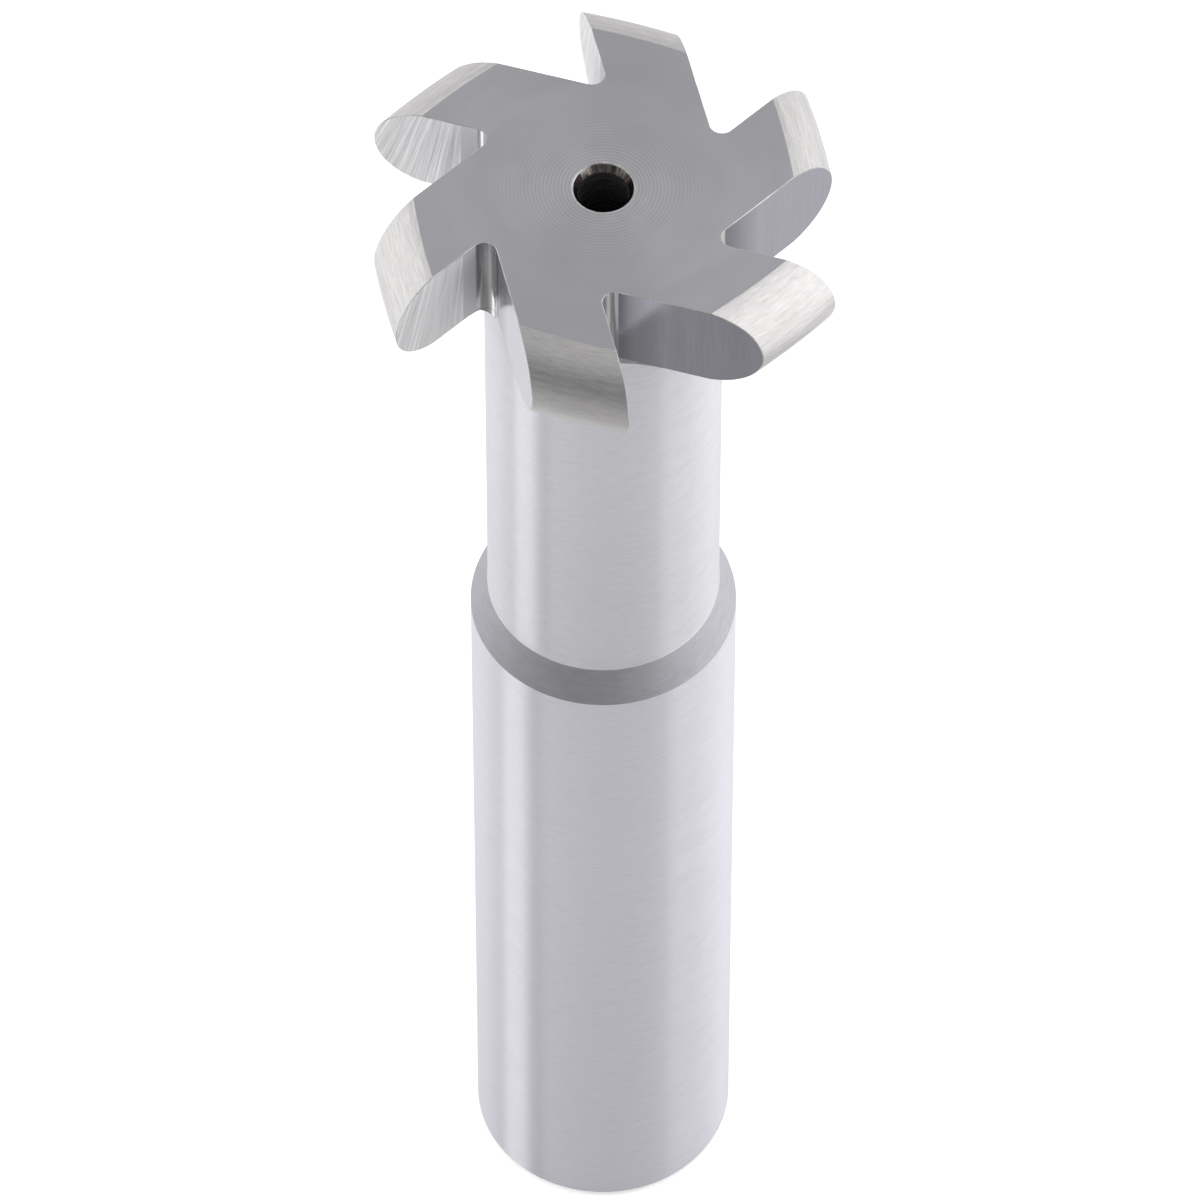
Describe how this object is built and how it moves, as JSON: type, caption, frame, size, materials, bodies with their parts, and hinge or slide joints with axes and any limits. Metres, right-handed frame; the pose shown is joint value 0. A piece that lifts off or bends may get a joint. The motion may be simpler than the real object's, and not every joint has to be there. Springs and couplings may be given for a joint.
{
  "type": "convex radius cutter",
  "caption": "Milling cutter with a straight shank, a slimmer neck and a disc head of form-relieved teeth that cut a concave round groove",
  "frame": {"origin": "centre of the flat shank end, on the cutter's axis", "axes": "+Z runs along the axis from the shank end to the toothed head; the teeth cut counter-clockwise about +Z seen from the tip; the first cutting corner points 3.65 degrees past +Y towards -X"},
  "size_m": [0.0212, 0.023, 0.0751],
  "materials": {
    "ground_steel": "ground and satin turned high speed steel"
  },
  "bodies": {
    "root": {"cutter": "ground_steel"}
  },
  "joints": []
}
